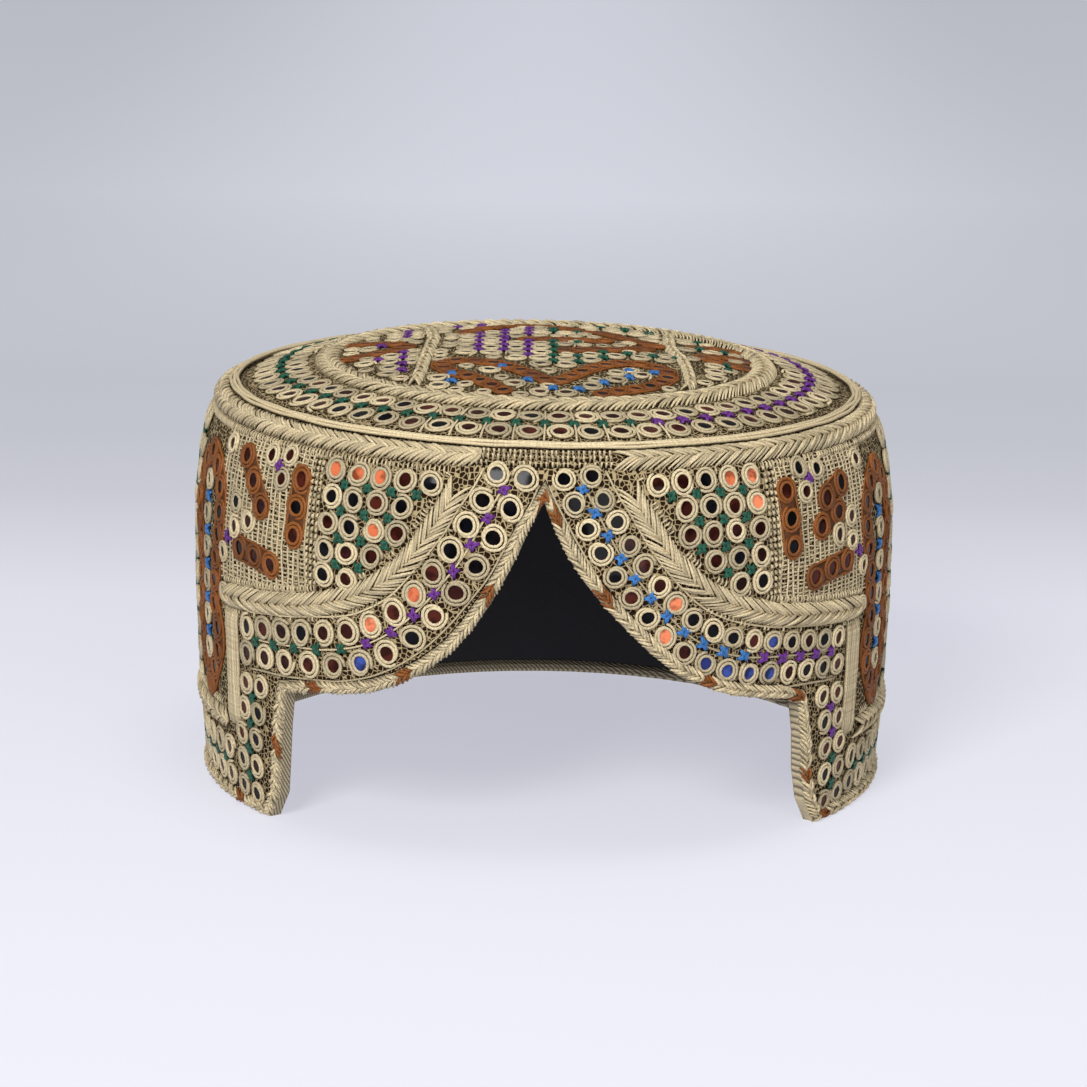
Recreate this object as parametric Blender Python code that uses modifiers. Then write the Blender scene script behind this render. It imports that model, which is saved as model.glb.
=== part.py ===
"""An embroidered cap: a stiff round wall, a gently domed crown and an arch cut out of the front.

Every piece starts on a flat pattern, as cut cloth does. "Around" is the distance along the wall from
the middle of the front, positive towards +X. "Up" is the distance from the rim, up the wall, over the
shoulder and in to the middle of the crown. "Out" is the distance out of the embroidered surface.
cap_point rolls the pattern into the cap. The front faces -Y and the rim stands on the ground at Z = 0.
"""

import math
from collections import namedtuple

import bmesh
import bpy
import numpy as np
from mathutils import Vector

# Lengths are in millimetres, and cap_point turns them into metres
MM = 0.001

# The cap's outline: half of its width at each height, from the rim over the shoulder to the crown
Level = namedtuple("Level", "half_width height")
PROFILE = (
    Level(83.1, 0.0),
    Level(84.7, 20.0),
    Level(85.7, 45.0),
    Level(85.8, 67.0),
    Level(84.5, 79.0),
    Level(83.0, 86.3),
    Level(81.3, 90.2),
    Level(79.6, 93.0),
    Level(77.0, 94.6),
    Level(70.0, 97.0),
    Level(62.5, 99.0),
    Level(50.0, 101.4),
    Level(36.0, 103.2),
    Level(20.0, 104.4),
    Level(0.0, 105.0),
)
SHOULDER_HEIGHT = 93.0
RIM_DEPTH_RATIO = 1.05
SHOULDER_DEPTH_RATIO = 1.0
# The right side sits a little lower than the left, by this share of the distance across
SIDE_LEAN = 0.0137
# Moves the cap so that its whole box is centred on the origin
CENTRE_SHIFT = -0.975

# Distances around the pattern are measured at this radius
GIRTH_RADIUS = 85.0
GIRTH = 2 * math.pi * GIRTH_RADIUS
COLUMNS = 60
COLUMN_STEP = GIRTH / COLUMNS

# The front arch: how far its free edge reaches to each side at each height, from the apex, along
# the two ledges, and down the front edges of the flaps to their tips
Reach = namedtuple("Reach", "height left right")
ARCH = (
    Reach(84.0, 0.0, 0.0),
    Reach(78.0, 3.2, 2.4),
    Reach(72.0, 5.7, 5.3),
    Reach(66.0, 8.7, 9.3),
    Reach(60.0, 12.1, 14.1),
    Reach(54.0, 16.1, 19.8),
    Reach(48.5, 20.7, 25.4),
    Reach(43.5, 27.0, 31.5),
    Reach(39.5, 33.6, 39.2),
    Reach(36.8, 40.5, 46.6),
    Reach(35.2, 48.0, 54.0),
    Reach(34.0, 57.0, 61.0),
    Reach(32.0, 66.8, 66.9),
    Reach(23.0, 68.4, 68.9),
    Reach(14.0, 69.8, 70.0),
    Reach(6.0, 71.3, 72.6),
    Reach(0.0, 75.5, 77.0),
)
# A sharp corner of an edge that is set in is cut short at this many times the distance
CORNER_LIMIT = 1.6

# Layers, from the tops of the embroidery threads inwards
EMBROIDERY_DEPTH = 0.8
WALL_THICKNESS = 2.0
CROWN_THICKNESS = 2.0
LAYER_GAP = 0.3
LINING_THICKNESS = 1.0
LINING_DEPTH = EMBROIDERY_DEPTH + WALL_THICKNESS + LAYER_GAP

# Heights up the pattern where pieces meet
BINDING_WIDTH = 3.0
WALL_TOP = 92.0
CROWN_START = 92.4
# The lining hangs a little slack, so it follows only some of the outline's levels
LINING_WALL_LEVELS = (33.0, 67.0, 86.6)
LINING_CROWN_LEVELS = (104.8, 126.1, 150.0)

# Raised braids: how far they stand out of the embroidered surface, and down to near the cloth
BRAID_TOP = 0.4
BRAID_FOOT = -0.4
CORD_TOP = 1.1
BINDING_TOP = 0.0
BINDING_INSIDE = LINING_DEPTH + LINING_THICKNESS + 0.3

SHOULDER_BRAID_WIDTH = 5.6
SHOULDER_CORD_WIDTH = 2.4
SHOULDER_BRAID_END = 17.0
CROWN_CORD_UP = 98.3
CROWN_CORD_WIDTH = 2.0
CROWN_BRAID_RADIUS = 53.6
CROWN_BRAID_WIDTH = 6.0
PANEL_BRAID_WIDTH = 5.6
SIDE_BAR_AROUND = 89.5
SIDE_BAR_WIDTH = 6.0
SIDE_BAR_TOP = 47.2
SIDE_BAR_FOOT = 19.5
LOWER_BRAID_UP = 19.6
LOWER_BRAID_WIDTH = 5.0
LOWER_BRAID_START = 92.9

# The braid that bounds each front panel, from the shoulder to the side bar
Station = namedtuple("Station", "around up")
PANEL_BRAID = (
    Station(19.6, 88.2),
    Station(20.3, 86.6),
    Station(21.7, 83.5),
    Station(24.2, 79.1),
    Station(27.0, 74.6),
    Station(31.0, 69.0),
    Station(37.5, 63.0),
    Station(46.0, 58.5),
    Station(57.0, 55.0),
    Station(70.0, 52.8),
    Station(92.5, 50.4),
)
STATION_STEP = 5.0

CREAM_THREAD = (0.66, 0.56, 0.38)
DARK_CLOTH = (0.05, 0.03, 0.02)
BLACK_LINING = (0.01, 0.01, 0.012)


def profile_frame():
    """The distance up to each level, the levels themselves, and the way out of each, mitred"""
    points = np.array(PROFILE)
    steps = np.diff(points, axis=0)
    lengths = np.hypot(steps[:, 0], steps[:, 1])
    ways_out = np.column_stack([steps[:, 1], -steps[:, 0]]) / lengths[:, None]
    before = ways_out[:-1]
    after = ways_out[1:]
    mitres = (before + after) / (1 + np.sum(before * after, axis=1))[:, None]
    mitres = np.vstack([(1.0, 0.0), mitres, (0.0, 1.0)])
    return np.concatenate([[0.0], np.cumsum(lengths)]), points, mitres


UPS, LEVEL_POINTS, LEVEL_WAYS_OUT = profile_frame()
CROWN_CENTRE = UPS[-1]
SHOULDER_UP = UPS[[level.height for level in PROFILE].index(SHOULDER_HEIGHT)]


def profile_point(up, out):
    """Half width and height at a distance up the pattern and a distance out of the surface"""
    return [
        float(np.interp(up, UPS, LEVEL_POINTS[:, i]) + out * np.interp(up, UPS, LEVEL_WAYS_OUT[:, i]))
        for i in (0, 1)
    ]


def cap_point(around, up, out=0.0):
    """The place in the cap of a point of the flat pattern, in metres"""
    half_width, height = profile_point(up, out)
    angle = around / GIRTH_RADIUS
    climb = min(height / SHOULDER_HEIGHT, 1.0)
    depth_ratio = RIM_DEPTH_RATIO + climb * (SHOULDER_DEPTH_RATIO - RIM_DEPTH_RATIO)
    across = half_width * math.sin(angle)
    back = CENTRE_SHIFT - half_width * depth_ratio * math.cos(angle)
    return Vector((across, back, height - SIDE_LEAN * across * climb)) * MM


def up_at_radius(radius):
    """The distance up the pattern at which the crown has this radius"""
    crown = slice(len(UPS) - 1, None, -1)
    return float(np.interp(radius, LEVEL_POINTS[crown, 0], UPS[crown]))


def arch_edge():
    """The free edge of the arch, from the left flap's tip over the apex to the right flap's tip"""
    left = [(-row.left, row.height) for row in reversed(ARCH)]
    right = [(row.right, row.height) for row in ARCH[1:]]
    return left + right


def rim_columns(start, end):
    """The pattern's column lines that lie between two distances around, well clear of both"""
    columns = np.arange(2 * COLUMNS) * COLUMN_STEP
    margin = 0.3 * COLUMN_STEP
    return [float(column) for column in columns if start + margin < column < end - margin]


def free_edge():
    """The cap's whole free edge as a closed loop: up over the arch, then round the rim at the back"""
    arch = arch_edge()
    rim = rim_columns(arch[-1][0], arch[0][0] + GIRTH)
    return arch + [(around, 0.0) for around in rim]


def set_in(edge, distance):
    """The closed edge, moved into the cloth by a distance, with its sharp corners cut short"""
    points = np.array(edge)
    ahead = np.roll(points, -1, axis=0) - points
    # The rim runs on past the back of the pattern, so one step of the loop goes back a whole girth
    ahead[-1, 0] += GIRTH
    ahead /= np.linalg.norm(ahead, axis=1)[:, None]
    after = np.column_stack([-ahead[:, 1], ahead[:, 0]])
    before = np.roll(after, 1, axis=0)
    mitres = (before + after) / (1 + np.sum(before * after, axis=1))[:, None]
    lengths = np.linalg.norm(mitres, axis=1)
    mitres *= np.minimum(1.0, CORNER_LIMIT / lengths)[:, None]
    return points + distance * mitres


def smooth_path(stations, step):
    """Points at about an even step along a smooth curve through the stations"""
    knots = np.array(stations, float)
    padded = np.vstack([2 * knots[0] - knots[1], knots, 2 * knots[-1] - knots[-2]])
    path = []
    for index in range(1, len(padded) - 2):
        p0, p1, p2, p3 = padded[index - 1 : index + 3]
        count = max(1, round(float(np.linalg.norm(p2 - p1)) / step))
        for t in np.arange(count) / count:
            path.append(
                0.5 * (2 * p1 + (p2 - p0) * t + (2 * p0 - 5 * p1 + 4 * p2 - p3) * t**2
                       + (3 * p1 - p0 - 3 * p2 + p3) * t**3)
            )
    return path + [knots[-1]]


def thread_material(name, colour, roughness):
    material = bpy.data.materials.new(name)
    material.use_nodes = True
    shader = material.node_tree.nodes["Principled BSDF"]
    shader.inputs["Base Color"].default_value = (*colour, 1.0)
    shader.inputs["Roughness"].default_value = roughness
    return material


def add_piece(name, mesh_builder, material, collection):
    """Turns a finished bmesh into a named object of the cap"""
    mesh = bpy.data.meshes.new(name)
    bmesh.ops.recalc_face_normals(mesh_builder, faces=mesh_builder.faces[:])
    mesh_builder.to_mesh(mesh)
    mesh_builder.free()
    mesh.materials.append(material)
    mesh.shade_smooth()
    mesh.set_sharp_from_angle(angle=math.radians(40))
    piece = bpy.data.objects.new(name, mesh)
    collection.objects.link(piece)
    return piece


def cut_sheet(outline, levels):
    """A flat sheet of cloth cut to its outline and creased along the pattern's columns and levels"""
    sheet = bmesh.new()
    sheet.faces.new([sheet.verts.new((around, 0.0, up)) for around, up in outline])
    half = COLUMNS // 2
    creases = [((k * COLUMN_STEP, 0, 0), (1, 0, 0)) for k in range(1 - half, half)]
    creases += [((0, 0, level), (0, 0, 1)) for level in levels]
    for point, normal in creases:
        everything = sheet.verts[:] + sheet.edges[:] + sheet.faces[:]
        bmesh.ops.bisect_plane(sheet, geom=everything, dist=1e-4, plane_co=point, plane_no=normal)
    cut_faces = [face for face in sheet.faces if len(face.verts) > 4]
    bmesh.ops.triangulate(sheet, faces=cut_faces)
    return sheet


def wall_outline(top):
    """The flat outline of a wall layer: the free edge set in behind the binding, and a straight top"""
    loop = set_in(free_edge(), BINDING_WIDTH + LAYER_GAP)
    arch = loop[: 2 * len(ARCH) - 1]
    foot = BINDING_WIDTH + LAYER_GAP
    return [(-GIRTH / 2, foot), *map(tuple, arch), (GIRTH / 2, foot), (GIRTH / 2, top), (-GIRTH / 2, top)]


def close_crown(sheet, ups, out):
    """Adds rings of faces to a rolled sheet, from its top edge in to the middle of the crown"""
    half = COLUMNS // 2
    rings = []
    for up in ups:
        rings.append([sheet.verts.new(cap_point(k * COLUMN_STEP, up, out)) for k in range(-half, half)])
    centre = sheet.verts.new(cap_point(0.0, CROWN_CENTRE, out))
    for lower, upper in zip(rings, rings[1:]):
        for k in range(COLUMNS):
            n = (k + 1) % COLUMNS
            sheet.faces.new((lower[k], lower[n], upper[n], upper[k]))
    for k in range(COLUMNS):
        sheet.faces.new((rings[-1][k], rings[-1][(k + 1) % COLUMNS], centre))


def roll_sheet(sheet, out):
    """Rolls a flat sheet into the cap and sews its two ends together at the back"""
    for vert in sheet.verts:
        vert.co = cap_point(vert.co.x, vert.co.z, out)


def add_shell(name, sheet, thickness, material, collection):
    """A cloth piece: the rolled sheet, sewn where its edges meet, and thickened inwards"""
    bmesh.ops.remove_doubles(sheet, verts=sheet.verts[:], dist=0.01 * MM)
    piece = add_piece(name, sheet, material, collection)
    first = piece.data.polygons[0]
    if first.normal.dot(first.center) < 0:
        piece.data.flip_normals()
    solidify = piece.modifiers.new("cloth thickness", "SOLIDIFY")
    solidify.thickness = thickness * MM
    solidify.offset = -1
    solidify.use_even_offset = True
    solidify.use_quality_normals = True
    return piece


def add_ribbon(name, path, section, closed, material, collection):
    """A raised strip along a path of the pattern, lofted through a section at every station

    A section point is a share of the way from the path's first side to its second, and a distance out.
    """
    ribbon = bmesh.new()
    rings = []
    for first, second in path:
        ring = []
        for share, out in section:
            around, up = first + share * (second - first)
            ring.append(ribbon.verts.new(cap_point(around, up, out)))
        rings.append(ring)
    joins = list(zip(rings, rings[1:]))
    if closed:
        joins.append((rings[-1], rings[0]))
    count = len(section)
    for here, there in joins:
        for k in range(count):
            n = (k + 1) % count
            ribbon.faces.new((here[k], here[n], there[n], there[k]))
    if not closed:
        ribbon.faces.new(rings[0])
        ribbon.faces.new(rings[-1])
    return add_piece(name, ribbon, material, collection)


def raised_section(foot, top, shoulder_share):
    """A low section with a flat foot and chamfered shoulders"""
    waist = foot + 0.45 * (top - foot)
    return (
        (0.0, foot),
        (1.0, foot),
        (1.0, waist),
        (1.0 - shoulder_share, top),
        (shoulder_share, top),
        (0.0, waist),
    )


def folded_section(foot, top, shoulder_share):
    """The same section with a crease along its middle, for a braid that lies over the shoulder"""
    section = list(raised_section(foot, top, shoulder_share))
    section.insert(1, (0.5, foot))
    section.insert(5, (0.5, top))
    return section


def binding_section():
    """A folded binding: flat where the rim rests, with its four corners cut off"""
    inside = -BINDING_INSIDE
    chamfer = 0.9
    share = chamfer / BINDING_WIDTH
    return (
        (0.0, BINDING_TOP - chamfer),
        (0.0, inside + chamfer),
        (share, inside),
        (1.0 - share, inside),
        (1.0, inside + chamfer),
        (1.0, BINDING_TOP - chamfer),
        (1.0 - share, BINDING_TOP),
        (share, BINDING_TOP),
    )


def level_path(ups, width, start=None):
    """Both sides of a band at one level: all round, or from one start round the back to its mirror"""
    half = COLUMNS // 2
    if start is None:
        arounds = [k * COLUMN_STEP for k in range(-half, half)]
    else:
        arounds = [start, *rim_columns(start, GIRTH - start), GIRTH - start]
    offset = np.array((0.0, width / 2))
    return [(np.array((around, ups)) - offset, np.array((around, ups)) + offset) for around in arounds]


def side_path(stations, width, side):
    """Both sides of a strip along a smooth path; side is -1 on the left and 1 on the right"""
    centre = np.array(smooth_path(stations, STATION_STEP))
    ahead = np.gradient(centre, axis=0)
    ahead /= np.linalg.norm(ahead, axis=1)[:, None]
    across = np.column_stack([-ahead[:, 1], ahead[:, 0]]) * width / 2
    mirror = np.array((side, 1.0))
    return [((point - off) * mirror, (point + off) * mirror) for point, off in zip(centre, across)]


def shoulder_path():
    """The shoulder braid runs all round, and narrows to a cord across the middle of the front"""
    path = []
    for first, second in level_path(SHOULDER_UP, SHOULDER_BRAID_WIDTH):
        if abs(first[0]) < SHOULDER_BRAID_END:
            middle = (first + second) / 2
            offset = np.array((0.0, SHOULDER_CORD_WIDTH / 2))
            first, second = middle - offset, middle + offset
        path.append((first, second))
    return path


def build_cap():
    collection = bpy.data.collections.new("embroidered_cap")
    bpy.context.scene.collection.children.link(collection)
    cream = thread_material("cream_thread", CREAM_THREAD, 0.75)
    dark = thread_material("dark_cloth", DARK_CLOTH, 0.9)
    black = thread_material("black_lining", BLACK_LINING, 0.85)

    wall_levels = [up for up in UPS if up < WALL_TOP - 1]
    wall = cut_sheet(wall_outline(WALL_TOP), wall_levels)
    roll_sheet(wall, -EMBROIDERY_DEPTH)
    add_shell("wall", wall, WALL_THICKNESS, dark, collection)

    crown = bmesh.new()
    crown_ups = [CROWN_START, *[up for up in UPS if CROWN_START + 1 < up < CROWN_CENTRE]]
    close_crown(crown, crown_ups, -EMBROIDERY_DEPTH)
    add_shell("crown", crown, CROWN_THICKNESS, dark, collection)

    lining = cut_sheet(wall_outline(SHOULDER_UP), LINING_WALL_LEVELS)
    roll_sheet(lining, -LINING_DEPTH)
    close_crown(lining, (SHOULDER_UP, *LINING_CROWN_LEVELS), -LINING_DEPTH)
    add_shell("lining", lining, LINING_THICKNESS, black, collection)

    edge = np.array(free_edge())
    inner_edge = set_in(edge, BINDING_WIDTH)
    add_ribbon("rim_binding", list(zip(edge, inner_edge)), binding_section(), True, cream, collection)

    braid = raised_section(BRAID_FOOT, BRAID_TOP, 0.15)
    cord = raised_section(BRAID_FOOT, CORD_TOP, 0.25)
    over_shoulder = folded_section(BRAID_FOOT, BRAID_TOP, 0.15)
    add_ribbon("shoulder_braid", shoulder_path(), over_shoulder, True, cream, collection)
    cord_path = level_path(CROWN_CORD_UP, CROWN_CORD_WIDTH)
    add_ribbon("crown_cord", cord_path, cord, True, cream, collection)
    crown_path = level_path(up_at_radius(CROWN_BRAID_RADIUS), CROWN_BRAID_WIDTH)
    add_ribbon("crown_braid", crown_path, braid, True, cream, collection)
    lower_path = level_path(LOWER_BRAID_UP, LOWER_BRAID_WIDTH, LOWER_BRAID_START)
    add_ribbon("lower_braid", lower_path, braid, False, cream, collection)

    bar = (Station(SIDE_BAR_AROUND, SIDE_BAR_TOP), Station(SIDE_BAR_AROUND, SIDE_BAR_FOOT))
    for side_name, side in (("left", -1), ("right", 1)):
        panel_path = side_path(PANEL_BRAID, PANEL_BRAID_WIDTH, side)
        add_ribbon(f"panel_braid_{side_name}", panel_path, braid, False, cream, collection)
        bar_path = side_path(bar, SIDE_BAR_WIDTH, side)
        add_ribbon(f"side_bar_{side_name}", bar_path, braid, False, cream, collection)


def clear_scene():
    for thing in list(bpy.data.objects):
        bpy.data.objects.remove(thing, do_unlink=True)


clear_scene()
build_cap()
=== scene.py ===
"""The looks of the embroidered cap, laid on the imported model.

The embroidery is drawn flat and then wrapped on the cap by two charts. On the wall's chart a point is
(around, up, out): the distance from the middle of the front, the distance up from the rim, and the
distance out of the embroidered surface. On the crown's chart it is (x, y, out) as seen from above.
Lengths are in millimetres until a chart turns them into metres.
"""

import math
from collections import namedtuple

import bpy
import numpy as np
from mathutils import Matrix, Vector

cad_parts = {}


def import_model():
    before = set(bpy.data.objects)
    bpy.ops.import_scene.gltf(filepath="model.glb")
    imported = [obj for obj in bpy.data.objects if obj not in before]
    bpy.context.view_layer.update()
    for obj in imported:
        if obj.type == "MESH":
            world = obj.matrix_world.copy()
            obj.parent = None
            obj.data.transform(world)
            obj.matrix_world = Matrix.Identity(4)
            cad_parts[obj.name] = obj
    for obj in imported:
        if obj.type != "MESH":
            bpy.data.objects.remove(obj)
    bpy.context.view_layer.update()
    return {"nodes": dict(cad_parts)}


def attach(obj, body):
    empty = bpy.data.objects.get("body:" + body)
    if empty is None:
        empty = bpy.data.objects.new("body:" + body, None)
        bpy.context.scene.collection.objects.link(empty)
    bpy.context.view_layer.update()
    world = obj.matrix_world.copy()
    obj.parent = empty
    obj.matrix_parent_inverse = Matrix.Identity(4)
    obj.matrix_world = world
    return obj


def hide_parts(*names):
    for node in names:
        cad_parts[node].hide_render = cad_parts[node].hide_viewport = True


MM = 0.001
random = np.random.default_rng(11)

# The cap's outline, as in the model: half of its width at each height
Level = namedtuple("Level", "half_width height")
PROFILE = [
    Level(*row) for row in (
        (83.1, 0.0), (84.7, 20.0), (85.7, 45.0), (85.8, 67.0), (84.5, 79.0), (83.0, 86.3),
        (81.3, 90.2), (79.6, 93.0), (77.0, 94.6), (70.0, 97.0), (62.5, 99.0), (50.0, 101.4),
        (36.0, 103.2), (20.0, 104.4), (0.0, 105.0),
    )
]
SHOULDER_HEIGHT = 93.0
SHOULDER_UP = 94.13
RIM_DEPTH_RATIO = 1.05
SIDE_LEAN = 0.0137
CENTRE_SHIFT = -0.975
GIRTH_RADIUS = 85.0
GIRTH = 2 * math.pi * GIRTH_RADIUS
HALF_GIRTH = GIRTH / 2

# The free edge of the front arch: how far it reaches to each side at each height
Reach = namedtuple("Reach", "height left right")
ARCH = [
    Reach(*row) for row in (
        (84.0, 0.0, 0.0), (78.0, 3.2, 2.4), (72.0, 5.7, 5.3), (66.0, 8.7, 9.3), (60.0, 12.1, 14.1),
        (54.0, 16.1, 19.8), (48.5, 20.7, 25.4), (43.5, 27.0, 31.5), (39.5, 33.6, 39.2),
        (36.8, 40.5, 46.6), (35.2, 48.0, 54.0), (34.0, 57.0, 61.0), (32.0, 66.8, 66.9),
        (23.0, 68.4, 68.9), (14.0, 69.8, 70.0), (6.0, 71.3, 72.6), (0.0, 75.5, 77.0),
    )
]

# How far the layers of thread stand out of the embroidered surface
CLOTH_OUT = -0.8
MIRROR_OUT = -0.28
RING_OUT = -0.33
GROUND_OUT = -0.54

# Threads and the rings that they are wound into
RING_THREAD = 0.41
RING_HEIGHT = 0.46
RING_RADIUS = 3.15
RING_TURNS = 2.0
RING_STEPS = 31
WINDING_PITCH = 0.84
CROWN_RING_OUT = -0.43
CROWN_RING_HEIGHT = 0.32

# Mirrors: their share of the ring's radius, how far their middle stands out, and how much they tilt
MIRROR_SHARE = 0.6
MIRROR_DOME = 0.07
MIRROR_TILT = 0.035

# Plaits: the strands' half width and pitch, the rise of every third strand, and the braids' height
STRAND = 0.39
STRAND_PITCH = 1.26
STRAND_RISE = 0.3
BRAID_TOP = 0.35

# Paths are given for the right side, as (around, up)
PANEL_BRAID = (
    (19.6, 88.2), (20.3, 86.6), (21.7, 83.5), (24.2, 79.1), (27.0, 74.6), (31.0, 69.0), (37.5, 63.0),
    (46.0, 58.5), (57.0, 55.0), (70.0, 52.8), (92.5, 50.4),
)
NEAR_ROW = (
    (4.6, 89.2), (6.9, 83.8), (11.4, 75.6), (15.8, 67.8), (20.8, 61.2), (25.5, 55.7), (31.0, 50.2),
    (38.9, 45.3), (47.0, 42.4), (61.3, 40.2), (81.6, 38.5),
)
AWAY_ROW = (
    (11.3, 90.0), (13.5, 85.0), (16.8, 79.6), (20.3, 73.3), (25.3, 66.5), (29.6, 61.3), (34.5, 56.6),
    (40.3, 53.0), (47.5, 50.2), (61.8, 47.5), (81.2, 45.1),
)
FLAP_INNER = (
    (76.2, 31.6), (77.6, 24.2), (79.0, 17.2), (79.6, 11.2), (80.2, 4.6),
)
FLAP_OUTER = (
    (82.4, 31.3), (83.8, 24.6), (85.3, 17.8), (86.0, 11.4), (86.2, 5.4),
)


def profile_frame():
    """The distance up to each level, the levels themselves, and the way out of each, mitred"""
    points = np.array(PROFILE)
    steps = np.diff(points, axis=0)
    lengths = np.hypot(steps[:, 0], steps[:, 1])
    ways_out = np.column_stack([steps[:, 1], -steps[:, 0]]) / lengths[:, None]
    before = ways_out[:-1]
    after = ways_out[1:]
    mitres = (before + after) / (1 + np.sum(before * after, axis=1))[:, None]
    mitres = np.vstack([(1.0, 0.0), mitres, (0.0, 1.0)])
    return np.concatenate([[0.0], np.cumsum(lengths)]), points, mitres


UPS, LEVEL_POINTS, LEVEL_WAYS_OUT = profile_frame()
SHOULDER_INDEX = [level.height for level in PROFILE].index(SHOULDER_HEIGHT)


def wall_chart(flat):
    """Wraps points (around, up, out) on the cap, in metres"""
    around, up, out = flat.T
    half_width = np.interp(up, UPS, LEVEL_POINTS[:, 0]) + out * np.interp(up, UPS, LEVEL_WAYS_OUT[:, 0])
    height = np.interp(up, UPS, LEVEL_POINTS[:, 1]) + out * np.interp(up, UPS, LEVEL_WAYS_OUT[:, 1])
    angle = around / GIRTH_RADIUS
    climb = np.minimum(height / SHOULDER_HEIGHT, 1.0)
    depth_ratio = RIM_DEPTH_RATIO + climb * (1.0 - RIM_DEPTH_RATIO)
    across = half_width * np.sin(angle)
    back = CENTRE_SHIFT - half_width * depth_ratio * np.cos(angle)
    return np.column_stack([across, back, height - SIDE_LEAN * across * climb]) * MM


def crown_chart(flat):
    """Wraps points (x, y, out), as seen from above, on the crown, in metres"""
    x, y, out = flat.T
    crown_ups = UPS[: SHOULDER_INDEX - 1 : -1]
    crown_radii = LEVEL_POINTS[: SHOULDER_INDEX - 1 : -1, 0]
    up = np.interp(np.hypot(x, y), crown_radii, crown_ups)
    return wall_chart(np.column_stack([GIRTH_RADIUS * np.arctan2(x, -y), up, out]))


def smooth_path(stations, step):
    """Points at about an even step along a smooth curve through the stations"""
    knots = np.array(stations, float)
    padded = np.vstack([2 * knots[0] - knots[1], knots, 2 * knots[-1] - knots[-2]])
    path = []
    for index in range(1, len(padded) - 2):
        p0, p1, p2, p3 = padded[index - 1 : index + 3]
        count = max(1, round(float(np.linalg.norm(p2 - p1)) / step))
        for t in np.arange(count) / count:
            path.append(
                0.5 * (2 * p1 + (p2 - p0) * t + (2 * p0 - 5 * p1 + 4 * p2 - p3) * t**2
                       + (3 * p1 - p0 - 3 * p2 + p3) * t**3)
            )
    return np.array(path + [knots[-1]])


class Line:
    """A path on a chart that things are laid along: a distance along it and an offset to its left"""

    def __init__(self, points):
        self.points = np.array(points, float)
        steps = np.linalg.norm(np.diff(self.points, axis=0), axis=1)
        self.distances = np.concatenate([[0.0], np.cumsum(steps)])
        self.length = self.distances[-1]
        ahead = np.gradient(self.points, self.distances, axis=0)
        self.ahead = ahead / np.linalg.norm(ahead, axis=1)[:, None]

    def place(self, distance, offset=0.0):
        x, y = (np.interp(distance, self.distances, self.points[:, i]) for i in (0, 1))
        ahead_x, ahead_y = (np.interp(distance, self.distances, self.ahead[:, i]) for i in (0, 1))
        return np.stack([x - ahead_y * offset, y + ahead_x * offset], axis=-1)

    def spread(self, count):
        """Evenly spaced points from one end to the other"""
        return self.place(np.linspace(0.0, self.length, count))


def carried_back(points, fold):
    """Points mirrored about a place on the cap's side, which is half the fold, or left alone at fold 0"""
    return [(fold - around if fold else around, up) for around, up in points]


def curve(stations, side=1, step=1.5):
    """A smooth line through the stations on the right side (1), or through their mirror image (-1)"""
    return Line(smooth_path([(around * side, up) for around, up in stations], step))


def level_line(up, start, end):
    """A level line round the wall"""
    arounds = np.arange(start, end + 1.0, 2.0)
    return Line(np.column_stack([arounds, np.full(len(arounds), up)]))


def circle_line(radius, past=0.0):
    """A circle on the crown from the back to the back, and some degrees past it"""
    angles = np.radians(np.arange(-180.0, 182.0 + past, 2.0))
    return Line(np.column_stack([radius * np.sin(angles), -radius * np.cos(angles)]))


class Batch:
    """Thread or glass of one material that becomes one piece of the cap"""

    def __init__(self, name, material, slot="mirror_embroidery"):
        self.name = name
        self.material = material
        self.slot = slot
        self.points = []
        self.corners = []
        self.counts = []
        self.uvs = []
        self.total = 0

    def add(self, points, face_sets):
        """Points in metres, with sets of (faces, uvs of their corners)"""
        for faces, uvs in face_sets:
            self.corners.append((faces + self.total).ravel())
            self.counts.append(np.full(len(faces), faces.shape[1]))
            self.uvs.append(uvs.reshape(-1, 2))
        self.points.append(points)
        self.total += len(points)

    def build(self, replaced=()):
        points = np.concatenate(self.points)
        corners = np.concatenate(self.corners)
        counts = np.concatenate(self.counts)
        mesh = bpy.data.meshes.new(self.name)
        mesh.vertices.add(len(points))
        mesh.vertices.foreach_set("co", points.ravel())
        mesh.loops.add(len(corners))
        mesh.loops.foreach_set("vertex_index", corners)
        mesh.polygons.add(len(counts))
        mesh.polygons.foreach_set("loop_start", np.cumsum(counts) - counts)
        uv_layer = mesh.uv_layers.new(name="thread")
        uv_layer.data.foreach_set("uv", np.concatenate(self.uvs).ravel())
        mesh.update(calc_edges=True)
        mesh.validate()
        mesh.shade_smooth()
        mesh.materials.append(self.material)
        piece = add_object(self.name, mesh)
        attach(piece, "root")
        if replaced:
            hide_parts(*replaced)


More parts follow.
